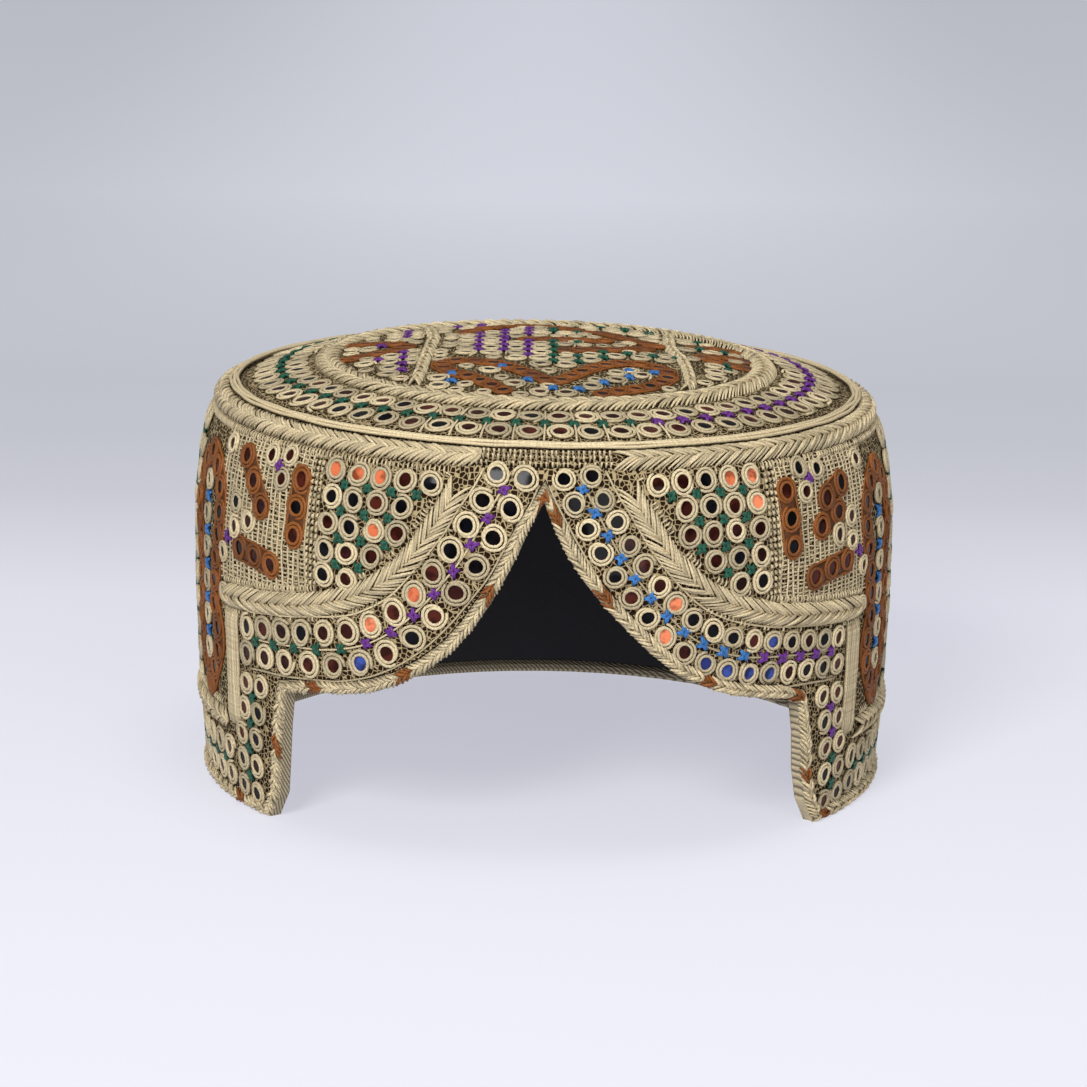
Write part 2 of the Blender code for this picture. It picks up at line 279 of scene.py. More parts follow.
def lay_threads(batch, chart, paths, half_width, half_height=None, sides=4):
    """Threads along paths, an array of (thread, point, 3) on a chart, closed at both ends"""
    if half_height is None:
        half_height = half_width
    count, length = paths.shape[:2]
    ahead = np.gradient(paths[:, :, :2], axis=1)
    ahead /= np.maximum(np.linalg.norm(ahead, axis=2), 1e-9)[:, :, None]
    across = np.stack([-ahead[:, :, 1], ahead[:, :, 0], np.zeros((count, length))], axis=2)
    turn = 2 * np.pi * (np.arange(sides) + 0.5) / sides
    widths = np.broadcast_to(half_width, (count, length))[:, :, None, None]
    heights = np.broadcast_to(half_height, (count, length))[:, :, None, None]
    out = np.array((0.0, 0.0, 1.0))
    ring = across[:, :, None] * np.cos(turn)[:, None] * widths + out * np.sin(turn)[:, None] * heights
    points = chart((paths[:, :, None] + ring).reshape(-1, 3))

    index = np.arange(count * length * sides).reshape(count, length, sides)
    here = index[:, :-1]
    there = index[:, 1:]
    faces = np.stack([here, np.roll(here, -1, 2), np.roll(there, -1, 2), there], axis=3)
    steps = np.linalg.norm(np.diff(paths, axis=1), axis=2)
    along = np.concatenate([np.zeros((count, 1)), np.cumsum(steps, axis=1)], axis=1)
    along = np.broadcast_to(along[:, :, None], index.shape)
    turned = np.broadcast_to(np.arange(sides) / sides, index.shape)
    begin = np.stack([along[:, :-1], turned[:, :-1]], axis=3)
    end = np.stack([along[:, 1:], turned[:, 1:]], axis=3)
    next_turn = np.array((0.0, 1.0 / sides))
    uvs = np.stack([begin, begin + next_turn, end + next_turn, end], axis=3)
    caps = np.concatenate([index[:, 0, ::-1], index[:, -1]])
    cap_uvs = np.concatenate([np.stack([along[:, i], turned[:, i]], axis=2) for i in (0, -1)])
    batch.add(points, [(faces.reshape(-1, 4), uvs), (caps, cap_uvs)])


def lay_stitches(batch, chart, starts, ends, half_width, low, high):
    """Single stitches, each from its start to its end in an arc that dips into the cloth at both"""
    share = np.linspace(0.0, 1.0, 4)
    arc = np.sin(np.pi * share) ** 0.6
    flat = starts[:, None] + (ends - starts)[:, None] * share[:, None]
    out = np.broadcast_to(low + (high - low) * arc, flat.shape[:2])
    paths = np.concatenate([flat, out[:, :, None]], axis=2)
    lay_threads(batch, chart, paths, half_width * (0.6 + 0.4 * arc))


def lay_plait(batch, chart, line, width, top, reach, accents=None):
    """A wheat-ear plait: strands from both sides that run forward to the middle and over each other

    Accents are a second batch and the rule that says, from their distances, which strands go to it.
    """
    share = np.linspace(0.0, 1.0, 6)
    height = np.array((0.0, 0.62, 0.92, 1.0, 0.8, 0.35))
    starts = np.arange(0.0, line.length - 0.4 * reach, STRAND_PITCH)
    for side in (-1.0, 1.0):
        begin = starts + (0.25 + 0.25 * side) * STRAND_PITCH + random.normal(0.0, 0.12, len(starts))
        bundle = STRAND_RISE * np.cos(2 * np.pi * np.arange(len(starts)) / 3)
        distance = begin[:, None] + reach * share
        offset = side * width * (0.5 - 0.56 * share**0.85)
        offset = offset + random.normal(0.0, 0.11, (len(starts), 1))
        flat = line.place(distance, offset)
        out = CLOTH_OUT + 0.15 + (top + 0.65) * height + bundle[:, None] * height
        paths = np.concatenate([flat, out[:, :, None]], axis=2)
        thickness = STRAND * (0.6 + 0.4 * np.sin(np.pi * share))
        thickness = thickness * random.uniform(0.85, 1.15, (len(starts), 1))
        if accents is None:
            lay_threads(batch, chart, paths, thickness, 1.2 * thickness)
            continue
        accent_batch, is_accent = accents
        marked = is_accent(begin)
        for target, chosen in ((batch, ~marked), (accent_batch, marked)):
            lay_threads(target, chart, paths[chosen], thickness[chosen], 1.2 * thickness[chosen])


def lay_cords(batch, chart, line, width, top, count, half_width=None):
    """Threads laid side by side along a line, the middle ones higher"""
    half_width = half_width or 0.56 * width / count
    distance = np.linspace(0.0, line.length, max(4, int(line.length / 2.2)))
    for place in (np.arange(count) - (count - 1) / 2) / count:
        phase = random.uniform(0, 2 * np.pi, 2)
        sway = 0.1 * np.sin(distance / 6.1 + phase[0]) + 0.07 * np.sin(distance / 2.7 + phase[1])
        flat = line.place(distance, place * width + sway)
        rise = top - half_width - 1.1 * half_width * (2 * place) ** 2
        out = np.full(len(distance), rise) + 0.05 * np.sin(distance / 3.3 + phase[1])
        out[[0, -1]] = CLOTH_OUT
        lay_threads(batch, chart, np.column_stack([flat, out])[None], half_width, sides=6)


def lay_ladder(batch, field, line, offset, length, pitch=1.15, half_width=0.25, high=-0.3):
    """Short stitches across a line, beside it, wherever there is no ring"""
    distance = np.arange(0.5 * pitch, line.length, pitch)
    distance = distance + random.normal(0.0, 0.08 * pitch, len(distance))
    starts = line.place(distance, offset)
    ends = line.place(distance, offset + length)
    clear = [field.free(*end, 0.2) for end in ends]
    lay_stitches(batch, field.chart, starts[clear], ends[clear], half_width, -0.85, high)


Ring = namedtuple("Ring", "x y radius thread mirror")
Knot = namedtuple("Knot", "x y turn colour")


class Field:
    """The rings and knots of one chart, gathered so that each kind is laid in one go"""

    def __init__(self, chart):
        self.chart = chart
        self.rings = []
        self.knots = []
        self.blocked = []

    def block(self, line, half_width):
        """Keeps later rings off a line"""
        for x, y in line.spread(max(2, int(line.length / 2.0))):
            self.blocked.append((x, y, half_width))

    def ring(self, x, y, thread="cream", mirror="dark", radius=RING_RADIUS):
        self.rings.append(Ring(x, y, radius, thread, mirror))

    def knot(self, x, y, colour, turn=0.0):
        self.knots.append(Knot(x, y, turn, colour))

    def free(self, x, y, radius):
        """Whether a disc of this radius lies clear of every ring and of what is blocked"""
        discs = [(ring.x, ring.y, ring.radius) for ring in self.rings] + self.blocked
        return all(math.hypot(disc[0] - x, disc[1] - y) > disc[2] + radius for disc in discs)


def lay_rings(batches, mirrors, field, ring_out, height):
    """Winds the field's rings, each from its outer loop inwards, over its mirror"""
    turn = np.linspace(0.0, 2 * np.pi * RING_TURNS, RING_STEPS)
    share = turn / turn[-1]
    for thread, batch in batches.items():
        rings = [ring for ring in field.rings if ring.thread == thread]
        centre = np.array([(ring.x, ring.y) for ring in rings])
        radius = np.array([ring.radius for ring in rings])[:, None]
        count = len(rings)
        begin = random.uniform(0, 2 * np.pi, (count, 1))
        hand = np.where(random.random((count, 1)) < 0.7, 1.0, -1.0)
        angle = begin + hand * turn
        loops, part = np.divmod(turn / (2 * np.pi), 1.0)
        loops = np.minimum(loops + np.clip((part - 0.7) / 0.3, 0.0, 1.0), 1.0)
        reach = radius * (1 - (RING_THREAD + WINDING_PITCH * loops) / RING_RADIUS)
        reach = reach * (1 + 0.035 * np.sin(2 * angle + begin * 3) + 0.02 * np.sin(3 * angle + begin))
        squash = 1 + random.normal(0.0, 0.035, (count, 2))
        out = ring_out + 0.2 * share + random.normal(0.0, 0.05, (count, 1))
        out = out - 0.35 * (share < 0.03) - 0.3 * (share > 0.97)
        x = centre[:, :1] + squash[:, :1] * reach * np.cos(angle)
        y = centre[:, 1:] + squash[:, 1:] * reach * np.sin(angle)
        paths = np.stack([x, y, out], axis=2)
        lay_threads(batch, field.chart, paths, RING_THREAD * radius / RING_RADIUS, height)
    for kind, batch in mirrors.items():
        rings = [ring for ring in field.rings if ring.mirror == kind]
        if rings:
            lay_mirrors(batch, field.chart, rings)


def lay_mirrors(batch, chart, rings):
    """Slightly domed glass discs, each tilted a little in its own way"""
    corners = 14
    angle = 2 * np.pi * np.arange(corners) / corners
    centre = np.array([(ring.x, ring.y) for ring in rings])
    radius = np.array([ring.radius for ring in rings]) * MIRROR_SHARE
    tilt = random.normal(0.0, MIRROR_TILT, (len(rings), 2))
    rim = np.stack([np.cos(angle), np.sin(angle)], axis=1)
    flat = centre[:, None] + radius[:, None, None] * rim
    out = MIRROR_OUT + radius[:, None] * (tilt @ rim.T)
    points = np.concatenate([flat, out[:, :, None]], axis=2)
    middle = np.column_stack([centre, np.full(len(rings), MIRROR_OUT + MIRROR_DOME)])
    points = np.concatenate([points, middle[:, None]], axis=1)
    index = np.arange(len(rings) * (corners + 1)).reshape(len(rings), corners + 1)
    edge = index[:, :-1]
    hub = np.broadcast_to(index[:, -1:], edge.shape)
    faces = np.stack([edge, np.roll(edge, -1, 1), hub], axis=2).reshape(-1, 3)
    batch.add(chart(points.reshape(-1, 3)), [(faces, np.zeros((len(faces), 3, 2)))])


def lay_knots(batches, field):
    """Four-armed knots of coloured thread in the gaps between rings"""
    for colour, batch in batches.items():
        knots = [knot for knot in field.knots if knot.colour == colour]
        centre = np.array([(knot.x, knot.y) for knot in knots])
        turn = np.array([knot.turn for knot in knots])
        for arm in range(4):
            angle = turn + arm * np.pi / 2 + random.normal(0.0, 0.12, len(knots))
            way = np.column_stack([np.cos(angle), np.sin(angle)])
            across = way[:, ::-1] * (-1.0, 1.0)
            reach = random.uniform(1.5, 2.0, (len(knots), 1))
            for side in (-0.4, 0.4):
                starts = centre + across * side - way * 0.5
                ends = centre + way * reach + across * side * 0.2
                lay_stitches(batch, field.chart, starts, ends, 0.38, -0.65, -0.1)


def lay_row(field, line, count, radius=RING_RADIUS, special=None, closed=False):
    """A row of rings along a line; special gives some their own mirrors, by number"""
    places = line.spread(count)
    for number, (x, y) in enumerate(places[: count - closed]):
        mirror = (special or {}).get(number, "dark")
        field.ring(x, y, mirror=mirror, radius=radius)
    return places


def knots_between(field, first, second, colour_of):
    """A knot in the middle of each four rings of two rows that run side by side"""
    count = max(len(first), len(second)) - 1
    for number in range(count):
        share = (number + 0.5) / count
        a, b = (Line(row).place(share * Line(row).length) for row in (first, second))
        x, y = (a + b) / 2
        way = Line(first).place((share + 0.02) * Line(first).length) - a
        field.knot(x, y, colour_of(number), math.atan2(way[1], way[0]) + math.pi / 4)


def shade(name, base, roughness, build=None, **sockets):
    """A Principled material; build(nodes, links, shader) adds its detail"""
    material = bpy.data.materials.new(name)
    material.use_nodes = True
    tree = material.node_tree
    shader = tree.nodes["Principled BSDF"]
    shader.inputs["Base Color"].default_value = (*base, 1.0)
    shader.inputs["Roughness"].default_value = roughness
    for socket, value in sockets.items():
        shader.inputs[socket.replace("_", " ")].default_value = value
    if build:
        build(tree.nodes, tree.links, shader)
    return material


def ramp(nodes, links, source, stops):
    """A colour ramp through (place, colour) stops, fed by a socket"""
    node = nodes.new("ShaderNodeValToRGB")
    links.new(source, node.inputs["Fac"])
    while len(node.color_ramp.elements) < len(stops):
        node.color_ramp.elements.new(0.5)
    for element, (place, colour) in zip(node.color_ramp.elements, stops):
        element.position = place
        element.color = (*colour, 1.0)
    return node.outputs["Color"]


def position(nodes):
    return nodes.new("ShaderNodeNewGeometry").outputs["Position"]


def noise(nodes, links, place, scale, detail=2.0):
    node = nodes.new("ShaderNodeTexNoise")
    node.inputs["Scale"].default_value = scale
    node.inputs["Detail"].default_value = detail
    links.new(place, node.inputs["Vector"])
    return node.outputs["Fac"]


def waves(nodes, links, direction, pitch, distortion):
    """Bands across a direction, with their pitch in millimetres"""
    node = nodes.new("ShaderNodeTexWave")
    node.bands_direction = direction
    node.inputs["Scale"].default_value = 0.314 / (pitch * MM)
    node.inputs["Distortion"].default_value = distortion
    links.new(position(nodes), node.inputs["Vector"])
    return node.outputs["Fac"]


def joined(nodes, links, operation, first, second):
    """A Math node of a socket and either another socket or a number"""
    node = nodes.new("ShaderNodeMath")
    node.operation = operation
    links.new(first, node.inputs[0])
    if isinstance(second, float):
        node.inputs[1].default_value = second
    else:
        links.new(second, node.inputs[1])
    return node.outputs["Value"]


def faded(nodes, links, source, start, end):
    """0 before start and 1 after end of a socket's value, and smooth between"""
    node = nodes.new("ShaderNodeMapRange")
    node.interpolation_type = "SMOOTHSTEP"
    node.inputs["From Min"].default_value = start
    node.inputs["From Max"].default_value = end
    links.new(source, node.inputs["Value"])
    return node.outputs["Result"]


def multiplied(nodes, links, first, second, share=1.0):
    """The first colour socket, darkened by a share of the second"""
    node = nodes.new("ShaderNodeMix")
    node.data_type = "RGBA"
    node.blend_type = "MULTIPLY"
    node.inputs["Factor"].default_value = share
    links.new(first, node.inputs["A"])
    links.new(second, node.inputs["B"])
    return node.outputs["Result"]


def add_bump(nodes, links, shader, height, strength, depth, invert=False):
    """Bump from a height socket, with its depth in millimetres"""
    bump = nodes.new("ShaderNodeBump")
    bump.invert = invert
    bump.inputs["Strength"].default_value = strength
    bump.inputs["Distance"].default_value = depth * MM
    links.new(height, bump.inputs["Height"])
    links.new(bump.outputs["Normal"], shader.inputs["Normal"])


def scaled(colour, factor):
    return tuple(channel * factor for channel in colour)


def thread_shade(name, colour, roughness=0.62):
    """Twisted cotton: strands differ a little in tone, and fine fibres run along each"""

    def build(nodes, links, shader):
        island = nodes.new("ShaderNodeNewGeometry").outputs["Random Per Island"]
        tones = ramp(
            nodes, links, island,
            [(0.0, scaled(colour, 0.72)), (0.5, colour), (1.0, scaled(colour, 1.22))],
        )
        uv = nodes.new("ShaderNodeUVMap")
        uv.uv_map = "thread"
        stretch = nodes.new("ShaderNodeMapping")
        stretch.inputs["Scale"].default_value = (1.1, 5.0, 1.0)
        stretch.inputs["Rotation"].default_value = (0.0, 0.0, 0.35)
        links.new(uv.outputs["UV"], stretch.inputs["Vector"])
        fibres = noise(nodes, links, stretch.outputs["Vector"], 1.6, 3.0)
        grain = ramp(nodes, links, fibres, [(0.32, (0.42, 0.35, 0.26)), (0.6, (1.0, 1.0, 1.0))])
        links.new(multiplied(nodes, links, tones, grain, 0.75), shader.inputs["Base Color"])
        add_bump(nodes, links, shader, fibres, 0.35, 0.15)

    return shade(name, colour, roughness, build, Specular_IOR_Level=0.3)


def pattern_place(nodes, links):
    """(around, up, 0) in millimetres of a point of the cap, for shaders"""
    parts = nodes.new("ShaderNodeSeparateXYZ")
    links.new(position(nodes), parts.inputs["Vector"])
    front = joined(nodes, links, "MULTIPLY", parts.outputs["Y"], -1.0)
    angle = joined(nodes, links, "ARCTAN2", parts.outputs["X"], front)
    together = nodes.new("ShaderNodeCombineXYZ")
    links.new(joined(nodes, links, "MULTIPLY", angle, GIRTH_RADIUS), together.inputs["X"])
    links.new(joined(nodes, links, "MULTIPLY", parts.outputs["Z"], 1 / MM), together.inputs["Y"])
    return together.outputs["Vector"]


def net_shade(name, wrapped):
    """Dark cloth under a thin darned net of cream thread"""
    cream = (0.34, 0.265, 0.145)
    dark = (0.018, 0.009, 0.004)

    def build(nodes, links, shader):
        if wrapped:
            vector = pattern_place(nodes, links)
            scale = 1.0
        else:
            vector = position(nodes)
            scale = 1 / MM
        cells = nodes.new("ShaderNodeTexVoronoi")
        cells.feature = "DISTANCE_TO_EDGE"
        cells.inputs["Scale"].default_value = 0.85 * scale
        cells.inputs["Randomness"].default_value = 0.7
        links.new(vector, cells.inputs["Vector"])
        distance = cells.outputs["Distance"]
        net = ramp(nodes, links, distance, [(0.055, cream), (0.09, dark)])
        links.new(net, shader.inputs["Base Color"])
        add_bump(nodes, links, shader, distance, 0.9, 0.5, invert=True)

    return shade(name, dark, 0.9, build, Specular_IOR_Level=0.05)


def lining_shade():
    """Plain woven black cloth"""
    colour = (0.006, 0.006, 0.008)

    def build(nodes, links, shader):
        blotch = noise(nodes, links, position(nodes), 60.0, 4.0)
        stops = [(0.3, scaled(colour, 0.7)), (0.7, scaled(colour, 1.3))]
        links.new(ramp(nodes, links, blotch, stops), shader.inputs["Base Color"])
        threads = [waves(nodes, links, direction, 0.7, 0.6) for direction in ("X", "Z")]
        add_bump(nodes, links, shader, joined(nodes, links, "MULTIPLY", *threads), 0.5, 0.1)

    return shade("lining_cloth", colour, 0.8, build, Sheen_Weight=0.3)


def binding_shade():
    """Thread wound slantwise over the edge"""
    colour = (0.45, 0.37, 0.23)

    def build(nodes, links, shader):
        strands = waves(nodes, links, "DIAGONAL", 0.62, 1.2)
        stops = [(0.04, scaled(colour, 0.25)), (0.3, scaled(colour, 0.8)), (0.8, colour)]
        links.new(ramp(nodes, links, strands, stops), shader.inputs["Base Color"])
        add_bump(nodes, links, shader, strands, 1.0, 0.3)

    return shade("binding_thread", colour, 0.8, build)


def glass_shade(name, reflection_colours):
    """Small mirrors whose reflections are painted: each disc's colour is a painted reflection of the dark
    of the room, and it differs from one to the next
    """

    def build(nodes, links, shader):
        island = nodes.new("ShaderNodeNewGeometry").outputs["Random Per Island"]
        stops = [(number / len(reflection_colours), colour) for number, colour in enumerate(reflection_colours)]
        tones = ramp(nodes, links, island, stops)
        tones.node.color_ramp.interpolation = "CONSTANT"
        # Painted shade: noise darkens patches of each mirror
        painted_shade_noise = noise(nodes, links, position(nodes), 0.32 / MM)
        painted_glass_shade = ramp(nodes, links, painted_shade_noise, [(0.4, (0.35, 0.3, 0.3)), (0.56, (1.0, 1.0, 1.0))])
        links.new(multiplied(nodes, links, tones, painted_glass_shade), shader.inputs["Base Color"])

    return shade(name, reflection_colours[0], 0.12, build, Specular_IOR_Level=0.08)


CREAM = (0.565, 0.475, 0.30)
RUST = (0.225, 0.071, 0.010)
COLOURS = {
    "green": (0.006, 0.08, 0.045),
    "purple": (0.12, 0.02, 0.22),
    "blue": (0.03, 0.15, 0.42),
}
# Painted reflections of the room: the colours that each kind of mirror shows
PAINTED_MIRROR_REFLECTIONS = {
    "black": [(0.002, 0.002, 0.004), (0.004, 0.003, 0.004)],
    "dark": [(0.004, 0.004, 0.006), (0.03, 0.006, 0.004), (0.06, 0.012, 0.007)],
    "orange": [(0.72, 0.21, 0.10), (0.55, 0.14, 0.06)],
    "blue": [(0.02, 0.03, 0.14), (0.04, 0.07, 0.28)],
}

# The two rows of rings beside the arch: change is the number of the first knot of the last colour
ArchRows = namedtuple("ArchRows", "near_count away_count radius first_colour last_colour change")
ARCH_ROWS = {
    -1: ArchRows(14, 14, 1.06 * RING_RADIUS, "purple", "green", 8),
    1: ArchRows(17, 16, 0.95 * RING_RADIUS, "blue", "purple", 11),
}
# Numbers of the rings, from the apex, whose mirrors show a painted orange or blue reflection, and how many
# show a painted black one
RINGS_WITH_PAINTED_REFLECTIONS = {
    ("near", -1): {8: "blue"},
    ("away", -1): {5: "orange", 7: "orange"},
    ("near", 1): {7: "orange", 9: "blue", 10: "blue", 11: "blue", 12: "blue"},
    ("away", 1): {6: "orange", 11: "blue"},
}
BLACK_REFLECTION_COUNTS = {"near": 4, "away": 3}

# Distances around the wall, from the middle of the front
PANEL_EDGE = 52.5
BEAD_COLUMNS = (56.6, 57.9, 59.2)
SIDE_LOOP = 105.5
BACK_LOOP = 157.0
# The back's bars and darning mirror the front's about half of this distance
BACK_FOLD = 306.0
RIM_ROW_START = 92.6
RIM_ROW_UPS = (6.4, 12.9)
# The back's fields of rings: where each starts, its columns, and its top
BACK_FIELDS = ((120.8, 4, 87.0), (173.0, 4, 87.0), (203.0, 1, 87.0), (250.5, 1, 87.0), (210.2, 6, 48.6))


def special_mirrors(row, side):
    return {**dict.fromkeys(range(BLACK_REFLECTION_COUNTS[row]), "black"), **RINGS_WITH_PAINTED_REFLECTIONS[row, side]}


def lay_arch_rows(field, side):
    """Two rows of rings along the arch, with knots between them; gives back their lines"""
    rows = ARCH_ROWS[side]
    near = curve(NEAR_ROW, side)
    away = curve(AWAY_ROW, side)
    near_places = lay_row(field, near, rows.near_count, rows.radius, special_mirrors("near", side))
    away_places = lay_row(field, away, rows.away_count, rows.radius, special_mirrors("away", side))
    knots_between(
        field, near_places, away_places,
        lambda number: rows.first_colour if number < rows.change else rows.last_colour,
    )
    return near, away


def lay_flap_rows(field, side):
    """Two short rows of rings down the tab beside the arch"""
    inner, outer = (
        lay_row(field, curve(row, side), 5, 0.95 * RING_RADIUS)
        for row in (FLAP_INNER, FLAP_OUTER)
    )
    knots_between(field, inner, outer, lambda number: "green" if side < 0 or number > 1 else "purple")


def lay_wall_edges(field, cream, near, away, side):
    """Threads along the arch's rows, short stitches beside the panel's braid, and columns of beads"""
    for line, offset in ((near, -3.6), (near, 3.75), (away, 3.6)):
        beside = Line(line.place(line.distances, offset * side))
        lay_cords(cream, wall_chart, beside, 0.7, -0.35, 1, 0.24)
    braid = curve(PANEL_BRAID, side)
    lay_ladder(cream, field, braid, 2.7 * side, 2.0 * side)
    lay_ladder(cream, field, braid, -2.7 * side, -1.5 * side)
    for column in BEAD_COLUMNS:
        ups = np.arange(59.5, 90.0, 1.55)
        ups = ups + random.normal(0.0, 0.08, len(ups))
        beads = np.column_stack([np.full(len(ups), column) * side, ups])
        lay_stitches(cream, wall_chart, beads, beads + (0.0, 1.1), 0.42, -0.75, -0.3)


def lay_wall(field, cream, rust):
    """The wall's pattern: rows round the arch and the rim, front panels, bars, loops, and the back"""
    for side in (-1, 1):
        near, away = lay_arch_rows(field, side)
        lay_flap_rows(field, side)
        lay_panel(field, side)
        lay_bars(field, rust, side)
        lay_darning(cream, side)
        lay_loop(field, rust, SIDE_LOOP * side)
        lay_wall_edges(field, cream, near, away, side)
    lay_ladder(cream, field, level_line(91.3, 24.0, GIRTH - 24.0), 0.0, -2.2)
    lay_ladder(cream, field, level_line(22.0, 96.0, GIRTH - 96.0), 0.0, 2.0)
    rows = [
        lay_row(field, level_line(up, RIM_ROW_START, GIRTH - RIM_ROW_START), 54)
        for up in RIM_ROW_UPS
    ]
    knots_between(field, *rows, lambda number: "purple" if 20 <= number <= 33 else "green")
    for side in (-1, 1):
        lay_loop(field, rust, BACK_LOOP * side)
        lay_bars(field, rust, side, BACK_FOLD)
        lay_darning(cream, side, BACK_FOLD)
        border = Line([(208.5 * side, 52.6), (246.0 * side, 52.6)])
        lay_cords(cream, wall_chart, border, 2.0, -0.2, 3)
        for start, columns, top in BACK_FIELDS:
            lay_back(field, start, columns, side, top)
    lay_loop(field, rust, HALF_GIRTH)


# Each panel's top, the pitch of its rows, and the (row, column) of its orange mirrors
PANELS = {
    -1: (86.9, 6.1, {(0, 0), (0, 1), (0, 2), (2, 2)}),
    1: (88.0, 6.2, {(0, 0), (0, 1), (1, 0)}),
}


def lay_panel(field, side):
    """A front panel: rows of rings that shorten downwards, with green knots between them"""
    rows = (5, 4, 4, 3, 2)
    top, pitch, orange = PANELS[side]
    for row, count in enumerate(rows):
        up = top - pitch * row
        for column in range(count):
            around = side * PANEL_EDGE - side * (6.35 * column - 0.35 * row)
            mirror = "orange" if (row, column) in orange else "dark"
            field.ring(around + random.normal(0, 0.15), up + random.normal(0, 0.15), "cream", mirror)
            if row + 1 < len(rows) and column + 1 < count and column < rows[row + 1]:
                field.knot(around - side * 3.2, up - 3.1, "green", math.pi / 4)


def lay_darning(batch, side, fold=0.0):
    """Columns of ladder stitches that fill the wall round the rust bars"""
    pitch = 1.9
    columns = np.arange(60.0, 97.0, pitch)
    if fold:
        columns = fold - columns
    for column in columns:
        ups = np.linspace(54.0, 91.0, 24)
        sway = 0.25 * np.sin(ups / 3.0 + column) + random.normal(0.0, 0.06, len(ups))
        paths = np.column_stack([(column + sway) * side, ups, np.full(len(ups), -0.74)])[None]
        lay_threads(batch, wall_chart, paths, 0.27)
        rungs = np.arange(54.4, 90.6, 1.05)
        count = len(rungs)
        rungs = rungs + random.normal(0.0, 0.1, count)
        starts = np.column_stack([np.full(count, column) * side, rungs])
        slants = random.normal(0.0, 0.2, count)
        ends = starts + np.column_stack([np.full(count, pitch * side), slants])
        lay_stitches(batch, wall_chart, starts, ends, 0.24, -0.85, -0.63)


# The rust bars of both sides, those at the top of each, and the cream rings and knots round them
BARS = (
    ((62.6, 83.2), (63.3, 76.6), (63.6, 70.0)),
    ((84.4, 63.2), (77.9, 62.6), (71.3, 61.6)),
)
LEFT_TOP_BAR = (((84.6, 85.2), (80.3, 80.0), (76.0, 74.6)),)
RIGHT_TOP_BARS = (((83.8, 82.3), (76.9, 79.6)), ((81.4, 75.6), (74.0, 73.2)))
BAR_CREAMS = (
    (93.2, 86.4), (74.4, 87.0), (67.9, 88.0), (69.4, 82.2), (87.2, 73.6), (86.9, 67.8), (80.9, 70.2),
    (93.2, 60.5), (93.0, 50.9),
)
BAR_KNOTS = ((71.2, 85.0), (91.0, 64.5))
# Cream rings below this are the small ones that stand beside the loop
SMALL_RINGS_TOP = 61.0


def lay_bars(field, rust, side, fold=0.0):
    """Short rust bars of two or three rings each, with cream rings and knots between them"""
    bars = BARS + (RIGHT_TOP_BARS if side > 0 else LEFT_TOP_BAR)
    for bar in bars:
        lay_rust_band(field, rust, curve(carried_back(bar, fold), side, 1.0), 3.4, 6.6)
    for around, up in carried_back(BAR_CREAMS, fold):
        field.ring(around * side, up, radius=RING_RADIUS * (0.92 if up > SMALL_RINGS_TOP else 0.8))
    for around, up in carried_back(BAR_KNOTS, fold):
        field.knot(around * side, up, "purple")


Rust = namedtuple("Rust", "edges grounds")


def lay_rust_band(field, rust, line, half_width, pitch):
    """Rust rings side by side, with a thread round them and a ground between, whose rust is darkened as
    painted shade
    """
    for x, y in line.spread(max(2, 1 + round(line.length / pitch))):
        field.ring(x, y, "rust", radius=half_width)
    lay_band_edge(field, rust.edges, line, half_width - 0.55)
    lay_band_ground(field, rust.grounds, line, half_width)


def lay_band_edge(field, batch, line, reach):
    """One thread along both sides of a line and round its ends"""
    distance = np.linspace(0.0, line.length, max(4, int(line.length / 1.2)))
    turn = np.linspace(-np.pi / 2, np.pi / 2, 9)[1:-1, None]
    sides = [line.place(distance, reach), line.place(distance[::-1], -reach)]
    ends = []
    for end, ahead in ((line.points[-1], line.ahead[-1]), (line.points[0], -line.ahead[0])):
        left = np.array((-ahead[1], ahead[0]))
        ends.append(end + reach * (np.cos(turn) * ahead - np.sin(turn) * left))
    flat = np.vstack([sides[0], ends[0], sides[1], ends[1], sides[0][:1]])
    flat = flat + 0.05 * np.sin(np.arange(len(flat)) * 1.7)[:, None]
    paths = np.column_stack([flat, np.full(len(flat), GROUND_OUT - 0.02)])[None]
    lay_threads(batch, field.chart, paths, 0.33, 0.4)


def lay_band_ground(field, batch, line, half_width):
    """A flat strip with round ends under a band"""
    beyond = 0.8 * half_width
    distance = np.linspace(-beyond, line.length + beyond, max(8, int(line.length)))
    past = (distance - distance.clip(0.0, line.length))[:, None]
    ahead = np.where(past > 0, line.ahead[-1], line.ahead[0])
    flat = line.place(distance.clip(0.0, line.length)) + past * ahead
    widths = np.sqrt(np.maximum(half_width**2 - past[:, 0] ** 2, 0.3)) - 0.7
    paths = np.column_stack([flat, np.full(len(flat), GROUND_OUT)])[None]
    lay_threads(batch, field.chart, paths, widths.clip(0.2), 0.2, sides=8)


# Half of a loop's outline, as (across, up)
LOOP_HALF = ((0.0, 82.5), (7.4, 77.5), (9.6, 68.5), (7.2, 59.0), (5.9, 47.5), (8.2, 37.5), (0.6, 25.8))


def lay_loop(field, rust, around):
    """A tall pointed loop of rust rings, filled with cream rings and blue knots"""
    for side in (-1, 1):
        line = curve([(around + side * across, up) for across, up in LOOP_HALF])
        lay_rust_band(field, rust, line, 3.3, 5.9)
    rings = 6
    pitch = 8.2
    for row in range(rings):
        up = 75.5 - pitch * row
        field.ring(around, up, radius=2.9)
        if row + 1 < rings:
            field.knot(around, up - 0.5 * pitch, "blue", math.pi / 4)


def lay_back(field, start, columns, side, top):
    """Part of the back, which is a guess: rows of rings down to the lower braid"""
    for up in np.arange(top, 23.5, -6.3):
        for column in range(columns):
            around = (start + 6.5 * column) * side
            if field.free(around, up, RING_RADIUS * 0.86):
                field.ring(around, up)
                if up > 30.0 and column < columns - 1:
                    field.knot(around + 3.25 * side, up - 3.15, "green", math.pi / 4)


